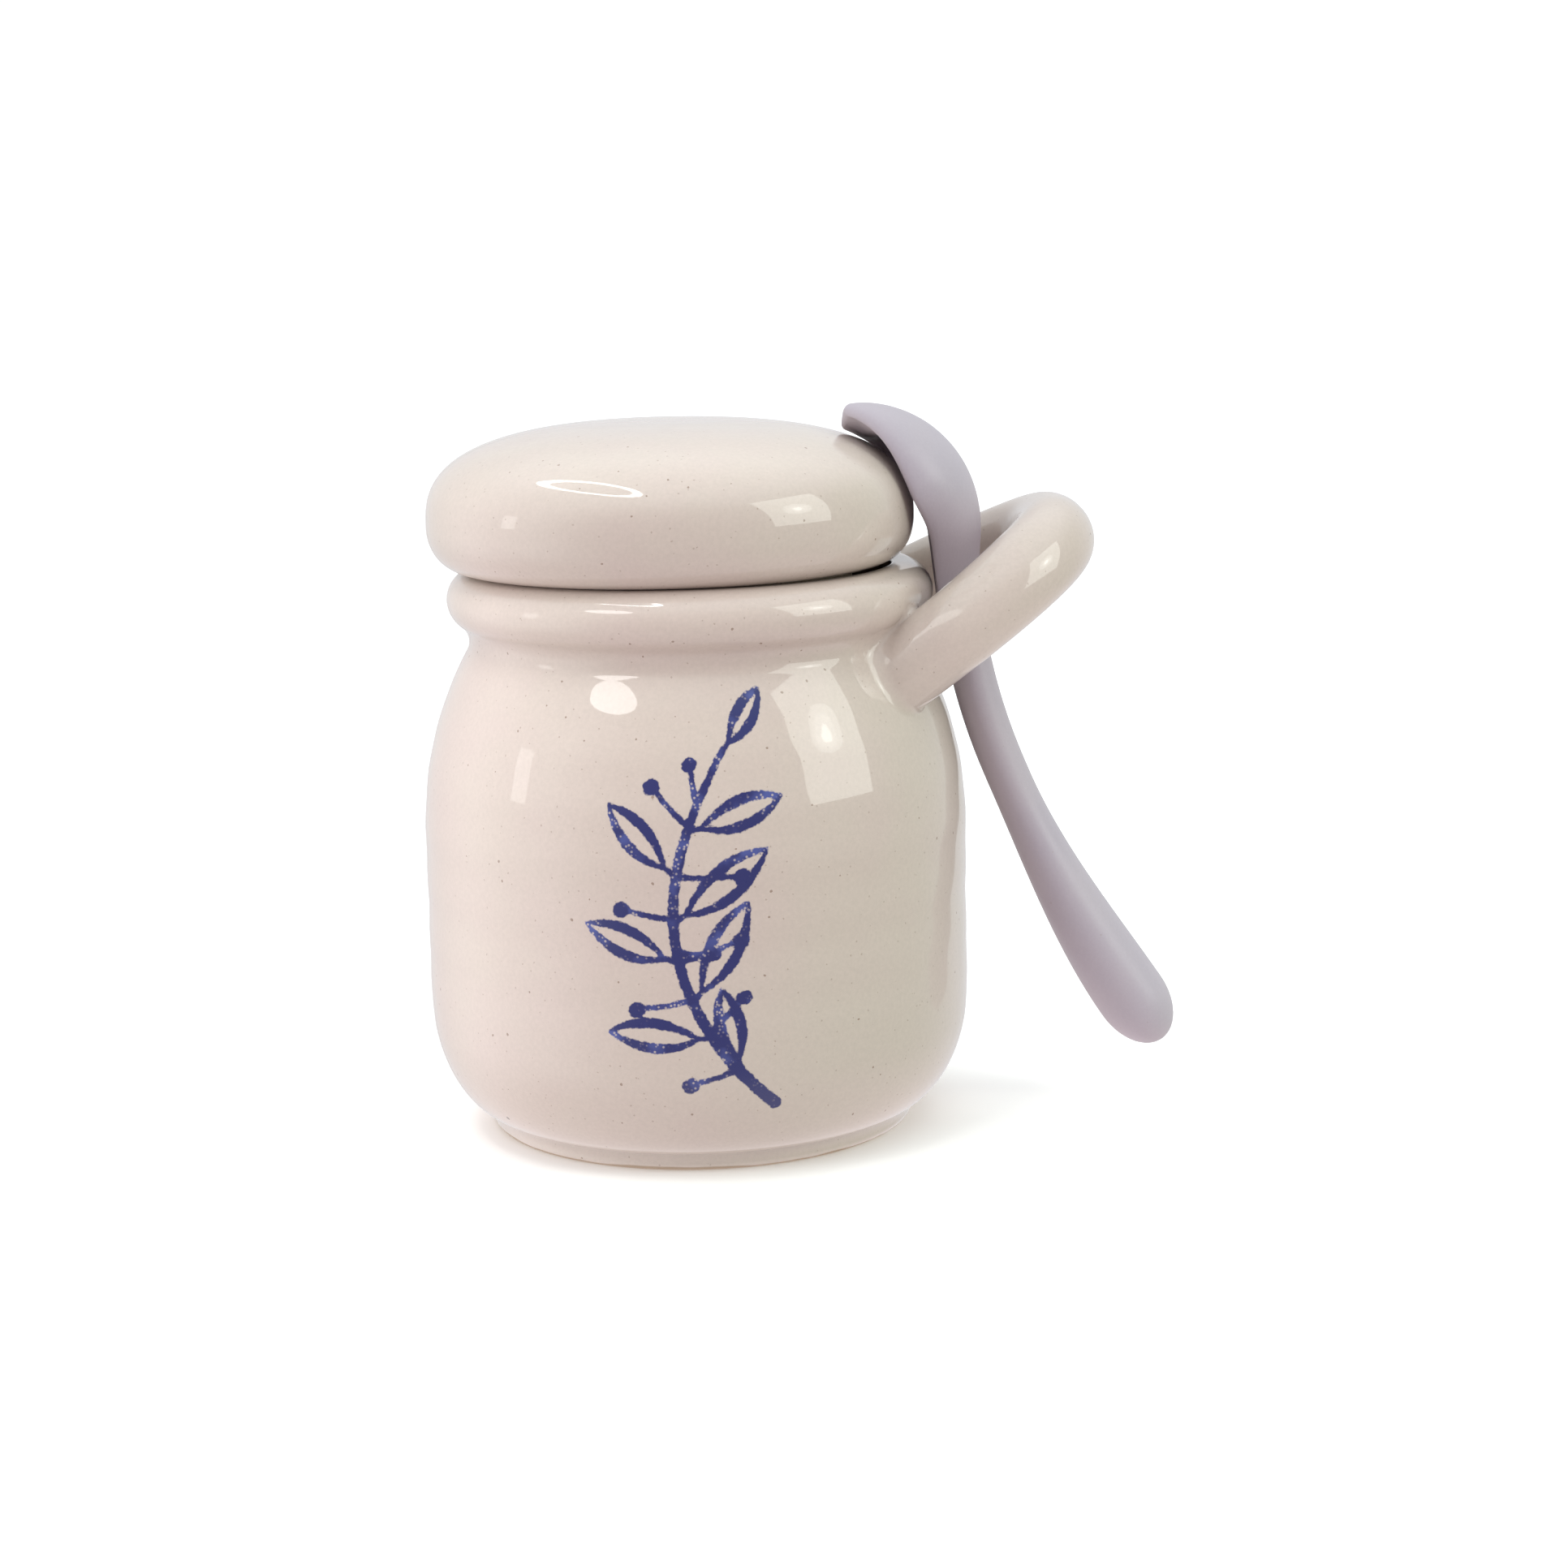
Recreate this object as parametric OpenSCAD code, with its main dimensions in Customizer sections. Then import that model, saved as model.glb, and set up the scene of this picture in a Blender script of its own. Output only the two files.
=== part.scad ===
// Stoneware jam pot with a bun-shaped lid, a clay loop on its shoulder and a hooked spoon that stands in the loop.
// Millimetres. The pot's axis is Z, the table is Z = 0, the loop and the spoon lie towards +X, the front is -Y.

/* [Pot] */
// Height of the flat on top of the rim
pot_h = 92.9; // [84:0.1:130]
// Diameter of the upright wall
belly_d = 90; // [82:0.5:104]
// Diameter at the narrowest point of the neck
neck_d = 73; // [64:0.5:76]
// How far the rim stands out from the neck
rim_flare = 3.4; // [2:0.1:6]
// Radius of the rounded rim
rim_round = 4.9; // [3.8:0.1:6]
// Radius of the hollow under the rim
hollow_round = 3.5; // [2.6:0.1:6]
// Thickness of the rim, from its edge to the mouth
rim_t = 6.9; // [6.2:0.1:9]
// Rounding of the mouth's upper edge
mouth_round = 0.8; // [0.3:0.1:1.5]
// Height at which the shoulder starts to lean in
shoulder_z = 50; // [40:0.5:58]
// Height at which the wall comes upright
heel_h = 22; // [14:0.5:32]
// Width of the curve under the wall
heel_w = 12; // [9:0.5:16]
// Diameter of the foot
foot_d = 70.4; // [62:0.2:76]
// Height of the foot
foot_h = 2.4; // [1.6:0.1:5]
// Rounding of the foot's lower edge
foot_round = 1.2; // [0.4:0.1:1.6]
// Thickness of the wall
wall = 4.8; // [3.6:0.1:6.5]
// Thickness of the floor
floor_t = 6.5; // [4:0.1:10]
// Width of the inside curve from wall to floor
floor_curve_w = 12; // [5:0.5:20]
// Height of the inside curve from wall to floor
floor_curve_h = 15; // [5:0.5:24]

/* [Lid] */
// Diameter of the lid at its widest
lid_d = 79.9; // [74:0.1:88]
// Height from the seat to the widest part
lid_low_h = 7.1; // [5:0.1:12]
// Height from the widest part to the crown
lid_dome_h = 16.3; // [10:0.1:28]
// Fullness of the dome, where 2 is an ellipse
lid_fullness = 2.75; // [2:0.05:4]
// Diameter of the flat that sits on the rim
lid_land_d = 67.8; // [66.6:0.1:72]
// Thickness of the lid's shell
lid_wall = 4.8; // [3.5:0.1:6.5]
// Thickness of the lid's bottom ring
lid_ring_t = 4; // [2.5:0.1:5]
// How far the spoon pushes the lid off centre
lid_push = 2.95; // [0:0.05:4]

/* [Lid collar] */
// Height of the collar below the lid
collar_h = 5.2; // [3:0.1:8]
// Thickness of the collar
collar_t = 3.9; // [2.5:0.1:6]
// Room between the collar and the mouth, all round
collar_room = 3.4; // [1:0.1:5]
// Bevel on the collar's lower edges
collar_bevel = 0.8; // [0.2:0.1:1.2]

/* [Loop] */
// Diameter of the clay coil
coil_d = 12.9; // [8:0.1:16]
// Diameter of the coil where it joins the pot
coil_root_d = 14.4; // [9:0.1:19]
// Length over which the coil thickens towards the pot
coil_flare_l = 12; // [6:0.5:20]
// Distance between the two arms at the pot, centre to centre
loop_span = 40; // [34:0.5:48]
// Rise of the loop's plane, in degrees
loop_rise = 38; // [25:1:50]
// Height of the loop's roots below the neck
loop_drop = 5; // [2:0.5:12]
// Free room between the spoon's neck and the end of the loop
loop_room = 8.8; // [5:0.1:16]
// Squareness of the loop's bend, where 2 is an ellipse
loop_fullness = 2.6; // [2:0.1:4]
// How much higher the loop's back root sits than its front one
loop_skew = 6; // [0:0.5:8]

/* [Spoon] */
// Width of the bowl
bowl_w = 27; // [20:0.5:34]
// Depth of the bowl, wall included
bowl_depth = 9.2; // [7:0.1:12]
// Thickness of the bowl's wall
bowl_wall = 2.2; // [1.6:0.1:3]
// Thickness of the bowl at its tip
tip_t = 2; // [1.8:0.1:4]
// Fullness of the bowl towards its tip, where 1 is a straight taper
tip_fullness = 2; // [1:0.1:3]
// Turn of the bowl's tip about its own line, in degrees
tip_turn = 10.5; // [0:0.5:12]
// Length over which the tip's turn fades
tip_turn_l = 15; // [10:0.5:24]
// Length from the tip to the widest part of the bowl
bowl_wide_at = 17; // [12:0.5:22]
// Length from the tip to the deepest part of the bowl
bowl_deep_at = 21; // [16:0.5:26]
// Length of the hollow at full depth
bowl_hollow_l = 27; // [22:0.5:32]
// Length of the bowl, from tip to neck
bowl_l = 40; // [36:0.5:46]
// Radius of the hook that the bowl follows
hook_r = 21; // [17:0.5:26]
// Angle that the hook turns through, in degrees
hook_turn = 82; // [70:1:95]
// How far the hook's centre lies inside the lid's edge
hook_in = 14.2; // [10:0.1:20]
// Height of the hook's centre below the lid's widest part
hook_drop = 3.6; // [0:0.1:9]
// Width of the neck
neck_w = 9.6; // [6:0.1:14]
// Thickness of the neck
neck_t = 7.2; // [6:0.1:9.5]
// Length below the bowl over which the neck turns round
neck_round_l = 14; // [8:0.5:20]
// Length of the even part of the neck
neck_l = 32; // [20:0.5:40]
// Radius of the bend at the neck
neck_bend_r = 100; // [80:1:160]
// Angle of the bend at the neck, in degrees
neck_bend = 21.8; // [12:0.1:26]
// Radius of the handle's bend
handle_bend_r = 220; // [150:5:500]
// Length of the handle beyond the neck's bend
handle_l = 55.5; // [40:0.5:80]
// Width of the handle's swollen end
end_w = 14.6; // [10:0.1:18]
// Thickness of the handle's swollen end
end_t = 11.9; // [8:0.1:13]
// Length of the rounding at the handle's end
end_round_l = 9; // [5:0.5:14]
// Clearance between the spoon and what it leans on
spoon_gap = 0.8; // [0.5:0.05:1.2]

/* [Hidden] */

$fn = 96;
glaze = [0.83, 0.79, 0.73];
glaze_lid = [0.85, 0.81, 0.75];
bare_clay = [0.78, 0.71, 0.62];
mauve = [0.74, 0.70, 0.75];

belly_r = belly_d / 2;
neck_r = neck_d / 2;
foot_r = foot_d / 2;
rim_r = neck_r + rim_flare;
mouth_r = rim_r - rim_t;
lid_r = lid_d / 2;
lid_land_r = lid_land_d / 2;
coil_r = coil_d / 2;
coil_root_r = coil_root_d / 2;

// Centres of the rim's bead, of the hollow below it and of the shoulder's sweep: the three arcs meet tangentially.
rim_z = pot_h - rim_round;
bead_lean = rim_flare - rim_round - hollow_round;
neck_z = rim_z - sqrt(pow(hollow_round + rim_round, 2) - pow(bead_lean, 2));
bead_c = [rim_r - rim_round, rim_z];
hollow_c = [neck_r + hollow_round, neck_z];
sweep_run = neck_r + hollow_round - belly_r;
sweep_rise = neck_z - shoulder_z;
sweep_r = (pow(sweep_run, 2) + pow(sweep_rise, 2) - pow(hollow_round, 2)) / (2 * (belly_r - neck_r));
sweep_c = [belly_r - sweep_r, shoulder_z];
sweep_end = atan2(hollow_c.y - sweep_c.y, hollow_c.x - sweep_c.x);
bead_start = atan2(bead_c.y - hollow_c.y, bead_c.x - hollow_c.x);

// Steps along the arcs of the profiles
arc_steps = 10;
dome_steps = 18;

function clamp(v, lo, hi) = min(hi, max(lo, v));
function smooth(u) = let (v = clamp(u, 0, 1)) v * v * (3 - 2 * v);
function degrees(a) = a * 180 / PI;
function arc(c, r, a0, a1, n) =
    [for (i = [0 : n]) let (a = a0 + (a1 - a0) * i / n) c + r * [cos(a), sin(a)]];
function bow(c, w, h, a0, a1, n, power) =
    [for (i = [0 : n]) let (a = a0 + (a1 - a0) * i / n)
        c + [w * pow(max(0, cos(a)), power), h * sign(sin(a)) * pow(abs(sin(a)), power)]];

// Outside of the pot from the foot to the flat of the rim
heel_c = [belly_r - heel_w, heel_h];
heel_start = -acos(clamp((foot_r - heel_c.x) / heel_w, 0, 1));
pot_outside = concat(
    arc([foot_r - foot_round, foot_round], foot_round, -90, 0, arc_steps / 2),
    bow(heel_c, heel_w, heel_h - foot_h, heel_start, 0, arc_steps, 1),
    arc(sweep_c, sweep_r, 0, sweep_end, arc_steps),
    arc(hollow_c, hollow_round, sweep_end + 180, bead_start, arc_steps),
    arc(bead_c, rim_round, bead_start - 180, 90, arc_steps));

// Inside of the pot from the mouth to the floor; the wall follows the outside's arcs
throat_r = hollow_round + wall;
throat_start = 180 - acos(clamp((hollow_c.x - mouth_r) / throat_r, 0, 1));
inside_r = belly_r - wall;
floor_c = [inside_r - floor_curve_w, floor_t + floor_curve_h];
pot_inside = concat(
    arc([mouth_r + mouth_round, pot_h - mouth_round], mouth_round, 90, 180, arc_steps / 2),
    arc(hollow_c, throat_r, throat_start, sweep_end + 180, arc_steps),
    arc(sweep_c, sweep_r - wall, sweep_end, 0, arc_steps),
    bow(floor_c, floor_curve_w, floor_curve_h, 0, -90, arc_steps, 1));

pot_edge = [for (p = pot_outside) [p.y, p.x]];
function pot_edge_r(z) = lookup(z, pot_edge);

// Lid: its seat is the flat of the rim, and the spoon pushes it aside as far as the collar lets it go.
lid_play = 0.3;
lid_x = -min(lid_push, collar_room - lid_play);
lid_mid_z = pot_h + lid_low_h;
lid_power = 2 / lid_fullness;
collar_r = mouth_r - collar_room;
collar_in_r = collar_r - collar_t;
lid_low_w = lid_r - lid_land_r;
lid_section = concat(
    [[collar_in_r, pot_h]],
    bow([lid_land_r, lid_mid_z], lid_low_w, lid_low_h, -90, 0, arc_steps, 1),
    bow([0, lid_mid_z], lid_r, lid_dome_h, 0, 90, dome_steps, lid_power),
    bow([0, lid_mid_z], lid_r - lid_wall, lid_dome_h - lid_wall, 90, 0, dome_steps, lid_power),
    bow([lid_land_r - lid_wall, lid_mid_z], lid_low_w, lid_low_h - lid_ring_t, 0, -90, arc_steps, 1),
    [[collar_in_r, pot_h + lid_ring_t]]);
function lid_top_z(r) =
    lid_mid_z + lid_dome_h * pow(max(0, 1 - pow(r / lid_r, lid_fullness)), 1 / lid_fullness);

// Spoon: its middle line hooks over the lid, runs down past the rim and bends away along the handle.
hook_c = [lid_x + lid_r - hook_in, lid_mid_z - hook_drop];
hook_l = hook_r * hook_turn * PI / 180;
neck_bend_l = neck_bend_r * neck_bend * PI / 180;
spoon_l = hook_l + neck_bend_l + handle_l;
neck_bend_c = hook_c + [hook_r + neck_bend_r, 0];
handle_bend_c = neck_bend_c + (handle_bend_r - neck_bend_r) * [cos(neck_bend), sin(neck_bend)];
// Direction of the spoon's back, in degrees above +X
function back_turn(s) =
    s < hook_l ? hook_turn - degrees(s / hook_r)
    : s < hook_l + neck_bend_l ? degrees((s - hook_l) / neck_bend_r)
    : neck_bend + degrees((s - hook_l - neck_bend_l) / handle_bend_r);
function back_dir(s) = [cos(back_turn(s)), sin(back_turn(s))];
function spoon_mid(s) =
    s < hook_l ? hook_c + hook_r * back_dir(s)
    : s < hook_l + neck_bend_l ? neck_bend_c - neck_bend_r * back_dir(s)
    : handle_bend_c - handle_bend_r * back_dir(s);

// Sizes across the spoon at the length s from its tip
tip_nib = 0.4;
end_least_share = 0.2;
inset_share = 0.05;
end_start = spoon_l - end_round_l;
swell_start = bowl_l + neck_l;
function end_taper(s) =
    s < end_start ? 1 : sqrt(max(pow(end_least_share, 2), 1 - pow((s - end_start) / end_round_l, 2)));
function blend(a, b, s, s0, s1) = a + (b - a) * smooth((s - s0) / (s1 - s0));
function spoon_t(s) =
    s < bowl_deep_at ? tip_t + (bowl_depth - tip_t) * (1 - pow(1 - s / bowl_deep_at, tip_fullness))
    : s < bowl_l ? blend(bowl_depth, neck_t, s, bowl_deep_at, bowl_l)
    : blend(neck_t, end_t, s, swell_start, end_start) * end_taper(s);
function spoon_half_w(s) =
    s < bowl_wide_at ? bowl_w / 2 * sqrt(1 - pow((bowl_wide_at - s) / (bowl_wide_at + tip_nib), 2))
    : s < bowl_l ? blend(bowl_w, neck_w, s, bowl_wide_at, bowl_l) / 2
    : blend(neck_w, end_w, s, swell_start, end_start) / 2 * end_taper(s);
// 1 where the front is hollowed into a bowl, 0 where it is filled up to its edges
function bowlness(s) = 1 - smooth((s - bowl_hollow_l) / (bowl_l - bowl_hollow_l));
// 1 where the front is flat between its edges, 0 where it is round like a handle
function flatness(s) = 1 - smooth((s - bowl_l) / neck_round_l);

// One ring of the spoon: round the back from one rim to the other, then across the front or the hollow
back_steps = 14;
front_steps = 12;
ring_n = back_steps + front_steps + 2;
function ring_flat(s) =
    let (b = bowlness(s), t = spoon_t(s), w = spoon_half_w(s), mid = -t / 2 * flatness(s))
    let (in_w = w * (1 - inset_share) - min(bowl_wall, w / 2) * b, front = -t / 2 + (t - min(bowl_wall, t)) * b)
    concat(
        [for (i = [0 : back_steps]) let (a = 180 * i / back_steps) [w * cos(a), mid + (t / 2 - mid) * sin(a)]],
        [for (i = [0 : front_steps]) let (a = 180 * (1 - i / front_steps))
            [in_w * cos(a), mid + (front - mid) * sin(a)]]);
// The tip is turned a little, so that its far rim lies lower than the near one
function tip_roll(s) = tip_turn * (1 - smooth(s / tip_turn_l));
function rolled(p, a) = [p.x * cos(a) + p.y * sin(a), p.y * cos(a) - p.x * sin(a)];
spoon_rings = 60;
ring_ease_share = 0.75;
function ring_s(i) = spoon_l * (i / spoon_rings - ring_ease_share * sin(360 * i / spoon_rings) / (2 * PI));
spoon_free = [for (i = [0 : spoon_rings]) let (s = ring_s(i), m = spoon_mid(s), d = back_dir(s))
    for (q = ring_flat(s)) let (p = rolled(q, tip_roll(s))) [m.x + p.y * d.x, p.x, m.y + p.y * d.y]];

// The spoon is pushed up to the rim, the shoulder and the side of the lid, and lifted clear of the dome.
function reach(r, y) = sqrt(max(0, pow(r + spoon_gap, 2) - pow(y, 2)));
function lean_x(p) =
    p.z < 0 || p.z > lid_mid_z ? -spoon_l
    : p.z < pot_h ? reach(pot_edge_r(p.z), p.y) - p.x
    : lid_x + reach(lid_r, p.y) - p.x;
spoon_dx = max([for (p = spoon_free) lean_x(p)]);
function lift_z(p) =
    let (r = norm([p.x + spoon_dx - lid_x, p.y])) p.z < lid_mid_z || r > lid_r ? 0 : lid_top_z(r) + spoon_gap - p.z;
spoon_dz = max([for (p = spoon_free) max(0, lift_z(p))]);
spoon_points = [for (p = spoon_free) p + [spoon_dx, 0, spoon_dz]];

// Loop: a coil bent into a U, in a plane that rises away from the pot and passes round the spoon's neck
root_z = neck_z - loop_drop;
root_x = sqrt(pow(pot_edge_r(root_z), 2) - pow(loop_span / 2, 2));
neck_back_x = hook_c.x + spoon_dx + hook_r + neck_t / 2;
loop_l = (neck_back_x - root_x) / cos(loop_rise) + loop_room + coil_r;
loop_power = 2 / loop_fullness;
loop_out = [cos(loop_rise), 0, sin(loop_rise)];
loop_up = [-sin(loop_rise), 0, cos(loop_rise)];
loop_bends = 34;
coil_sides = 22;
function loop_lift(p, q) = loop_skew * (q + loop_span / 2) / loop_span * (1 - p / loop_l);
function loop_at(p, q) = [root_x, q, root_z + loop_lift(p, q)] + p * loop_out;
loop_line = concat(
    [loop_at(-coil_root_d, -loop_span / 2)],
    [for (i = [0 : loop_bends]) let (a = -90 + 180 * i / loop_bends)
        loop_at(loop_l * pow(max(0, cos(a)), loop_power),
            loop_span / 2 * sign(sin(a)) * pow(abs(sin(a)), loop_power))],
    [loop_at(-coil_root_d, loop_span / 2)]);
loop_n = len(loop_line);
function unit(v) = v / norm(v);
function loop_dir(i) = unit(loop_line[min(loop_n - 1, i + 1)] - loop_line[max(0, i - 1)]);
function loop_r(i) =
    coil_root_r + (coil_r - coil_root_r) * smooth(((loop_line[i] - [root_x, 0, root_z]) * loop_out) / coil_flare_l);
loop_points = [for (i = [0 : loop_n - 1]) let (side = cross(loop_up, loop_dir(i)), r = loop_r(i))
    for (k = [0 : coil_sides - 1]) let (a = 360 * k / coil_sides)
        loop_line[i] + r * (cos(a) * side + sin(a) * loop_up)];

// Skin over rows of points: n points to a ring, closed at both ends by a fan about the ring's point number hub
function skin(rows, n, hub) = concat(
    [for (i = [0 : rows - 2]) for (k = [0 : n - 1]) let (j = (k + 1) % n)
        each [[i * n + k, i * n + j, (i + 1) * n + k], [(i + 1) * n + k, i * n + j, (i + 1) * n + j]]],
    [for (k = [1 : n - 2]) [hub, (hub + k + 1) % n, (hub + k) % n]],
    [for (k = [1 : n - 2]) (rows - 1) * n * [1, 1, 1] + [hub, (hub + k) % n, (hub + k + 1) % n]]);

module pot_solid() {
    rotate_extrude()
        polygon(concat([[0, 0]], pot_outside, [[0, pot_h]]));
}

module pot_body() {
    color(glaze)
        rotate_extrude()
            polygon(concat([[0, 0]], pot_outside, pot_inside, [[0, floor_t]]));
}

module spoon_loop() {
    color(glaze)
        difference() {
            polyhedron(loop_points, skin(loop_n, coil_sides, 0), convexity = 6);
            pot_solid();
        }
}

module lid() {
    color(glaze_lid)
        translate([lid_x, 0, 0])
            rotate_extrude()
                polygon(lid_section);
}

module lid_collar() {
    color(bare_clay)
        translate([lid_x, 0, pot_h - collar_h])
            rotate_extrude()
                polygon([
                    [collar_in_r, collar_bevel],
                    [collar_in_r + collar_bevel, 0],
                    [collar_r - collar_bevel, 0],
                    [collar_r, collar_bevel],
                    [collar_r, collar_h],
                    [collar_in_r, collar_h]]);
}

module spoon() {
    color(mauve)
        polyhedron(spoon_points, skin(spoon_rings + 1, ring_n, back_steps / 2), convexity = 8);
}

pot_body();
spoon_loop();
lid();
lid_collar();
spoon();
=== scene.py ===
import math

import bpy
import numpy as np
from mathutils import Matrix, Vector


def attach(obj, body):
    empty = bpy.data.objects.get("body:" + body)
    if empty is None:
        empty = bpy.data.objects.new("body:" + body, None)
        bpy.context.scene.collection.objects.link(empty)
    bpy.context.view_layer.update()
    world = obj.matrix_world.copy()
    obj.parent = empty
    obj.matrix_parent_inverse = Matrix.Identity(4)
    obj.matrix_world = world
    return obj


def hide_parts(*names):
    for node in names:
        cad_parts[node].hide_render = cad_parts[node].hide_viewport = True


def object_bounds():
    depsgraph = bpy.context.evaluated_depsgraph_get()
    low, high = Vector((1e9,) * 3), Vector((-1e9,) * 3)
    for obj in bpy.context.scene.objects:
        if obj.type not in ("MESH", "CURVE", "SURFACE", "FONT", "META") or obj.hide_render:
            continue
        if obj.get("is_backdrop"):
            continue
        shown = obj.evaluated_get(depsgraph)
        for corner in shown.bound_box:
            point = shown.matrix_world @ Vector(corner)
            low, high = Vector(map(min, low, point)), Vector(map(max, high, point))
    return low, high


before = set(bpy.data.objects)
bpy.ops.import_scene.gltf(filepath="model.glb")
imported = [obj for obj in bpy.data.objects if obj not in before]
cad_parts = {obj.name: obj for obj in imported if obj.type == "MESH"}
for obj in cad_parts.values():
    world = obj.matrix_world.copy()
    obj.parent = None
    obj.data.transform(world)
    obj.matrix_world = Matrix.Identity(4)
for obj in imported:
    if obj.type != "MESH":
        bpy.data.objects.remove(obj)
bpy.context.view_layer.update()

# Pot
# Thrown on the wheel from cream stoneware with iron specks, and trimmed at the foot when leather-hard.
# The sprig is brushed on in cobalt, a clear glossy glaze covers it, and the base is wiped bare.
MM = 0.001
pot_h = 92.9
belly_r = 45.0
neck_r = 36.5
rim_r = 39.9
rim_round = 4.9
hollow_round = 3.5
mouth_r = 33.0
mouth_round = 0.8
shoulder_z = 50.0
heel_h = 22.0
heel_w = 12.0
foot_r = 35.2
foot_h = 2.4
foot_round = 1.2
wall = 4.8
floor_t = 6.5
floor_curve = (12.0, 15.0)
fine_step = 0.4
coarse_step = 3.0
front_start = -61.0
pot_spins = ((52.0, 114), (308.0, 154))

# Centres of the rim's bead, of the hollow under it and of the shoulder's long sweep
bead = (rim_r - rim_round, pot_h - rim_round)
neck_z = bead[1] - math.sqrt((hollow_round + rim_round) ** 2 - (neck_r + hollow_round - bead[0]) ** 2)
hollow = (neck_r + hollow_round, neck_z)
sweep_r = ((hollow[0] - belly_r) ** 2 + (neck_z - shoulder_z) ** 2 - hollow_round**2) / (2 * (belly_r - neck_r))
sweep = (belly_r - sweep_r, shoulder_z)
sweep_end = math.degrees(math.atan2(hollow[1] - sweep[1], hollow[0] - sweep[0]))
bead_start = math.degrees(math.atan2(bead[1] - hollow[1], bead[0] - hollow[0]))
heel_start = -math.degrees(math.acos((foot_r - belly_r + heel_w) / heel_w))
throat_r = hollow_round + wall
throat_start = 180 - math.degrees(math.acos((hollow[0] - mouth_r) / throat_r))


def bend(c, w, h, a0, a1, step, power=1.0):
    """Points about step apart along a rounded corner, from the angle a0 to a1 in degrees."""
    n = max(3, round(math.radians(abs(a1 - a0)) * (w + h) / 2 / step))
    turn = [math.radians(a0 + (a1 - a0) * i / n) for i in range(n + 1)]
    return [
        (
            c[0] + w * math.copysign(abs(math.cos(a)) ** power, math.cos(a)),
            c[1] + h * math.copysign(abs(math.sin(a)) ** power, math.sin(a)),
        )
        for a in turn
    ]


def run(p, q, step):
    """Points about step apart on the straight line from p to q, without its ends."""
    n = max(1, round(math.dist(p, q) / step))
    return [(p[0] + (q[0] - p[0]) * i / n, p[1] + (q[1] - p[1]) * i / n) for i in range(1, n)]


heel_line = bend((belly_r - heel_w, heel_h), heel_w, heel_h - foot_h, heel_start, 0, fine_step)
outside = (
    bend((foot_r - foot_round, foot_round), foot_round, foot_round, -90, 0, 0.3)
    + heel_line
    + run((belly_r, heel_h), (belly_r, shoulder_z), fine_step)
    + bend(sweep, sweep_r, sweep_r, 0, sweep_end, fine_step)
    + bend(hollow, hollow_round, hollow_round, sweep_end + 180, bead_start, 0.4)[1:]
    + bend(bead, rim_round, rim_round, bead_start - 180, 90, 0.4)[1:]
)
inside = (
    bend((mouth_r + mouth_round, pot_h - mouth_round), mouth_round, mouth_round, 90, 180, 0.25)
    + bend(hollow, throat_r, throat_r, throat_start, sweep_end + 180, coarse_step)
    + bend(sweep, sweep_r - wall, sweep_r - wall, sweep_end, 0, coarse_step)
    + run((belly_r - wall, shoulder_z), (belly_r - wall, floor_t + floor_curve[1]), coarse_step)
    + bend((belly_r - wall - floor_curve[0], floor_t + floor_curve[1]), *floor_curve, 0, -90, coarse_step)
)


def eased(u):
    """From 0 to 1 with a soft start and end."""
    u = min(1.0, max(0.0, u))
    return u * u * (3 - 2 * u)


# Each row of finger rings: its depth, how close its rings lie and where they begin
rings_low = 12.0
rings_high = neck_z - 5
rings_fade = 10.0
ring_rows = ((0.04, 0.71, 0.0), (0.03, 0.33, 2.0))


def finger_rings(z):
    """How deep the potter's fingers left the wall at the height z, in mm: rings that fade at both ends."""
    fade = eased((z - rings_low) / rings_fade) * eased((rings_high - z) / rings_fade)
    return fade * sum(depth * (1 + math.sin(z * close + begin)) for depth, close, begin in ring_rows)


outside = [(r - finger_rings(z), z) for r, z in outside]


def throw(name, outline, spins, start=0.0, axis_x=0.0):
    """Draws half a section point by point, from the axis round to the axis, and spins it as on the wheel."""
    across, deep = math.cos(math.radians(start)) * MM, math.sin(math.radians(start)) * MM
    bpy.ops.object.select_all(action="DESELECT")
    bpy.ops.mesh.primitive_plane_add(size=MM)
    piece = bpy.context.object
    piece.name = piece.data.name = name
    bpy.ops.object.mode_set(mode="EDIT")
    bpy.ops.mesh.merge(type="CENTER")
    r, z = outline[0]
    bpy.ops.transform.translate(value=(axis_x * MM + r * across, r * deep, z * MM))
    for (r0, z0), (r1, z1) in zip(outline, outline[1:]):
        step = ((r1 - r0) * across, (r1 - r0) * deep, (z1 - z0) * MM)
        bpy.ops.mesh.extrude_region_move(TRANSFORM_OT_translate={"value": step})
    bpy.ops.mesh.select_all(action="SELECT")
    for angle, steps in spins:
        bpy.ops.mesh.spin(steps=steps, angle=math.radians(angle), center=(axis_x * MM, 0, 0), axis=(0, 0, 1))
    bpy.ops.mesh.select_all(action="SELECT")
    bpy.ops.mesh.remove_doubles(threshold=0.004 * MM)
    bpy.ops.mesh.normals_make_consistent(inside=False)
    bpy.ops.object.mode_set(mode="OBJECT")
    bpy.ops.object.shade_smooth()
    return piece


def hand_marks(piece, share, size, depth):
    """Presses shallow uneven dents of that size and depth inwards, by each point's own share from 0 to 1."""
    group = piece.vertex_groups.new(name="touched")
    levels = 100
    for level in range(1, levels + 1):
        touched = np.nonzero(np.round(share * levels) == level)[0]
        group.add([int(i) for i in touched], level / levels, "REPLACE")
    dents = bpy.data.textures.new(piece.name + "_dents", "CLOUDS")
    dents.noise_scale = size * MM
    dents.noise_depth = 0
    dents.noise_basis = "IMPROVED_PERLIN"
    bpy.context.view_layer.objects.active = piece
    bpy.ops.object.modifier_add(type="DISPLACE")
    press = piece.modifiers[-1]
    press.texture = dents
    press.texture_coords = "LOCAL"
    press.vertex_group = group.name
    press.mid_level = 1.0
    press.strength = depth * MM
    bpy.ops.object.modifier_apply(modifier=press.name)


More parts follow.
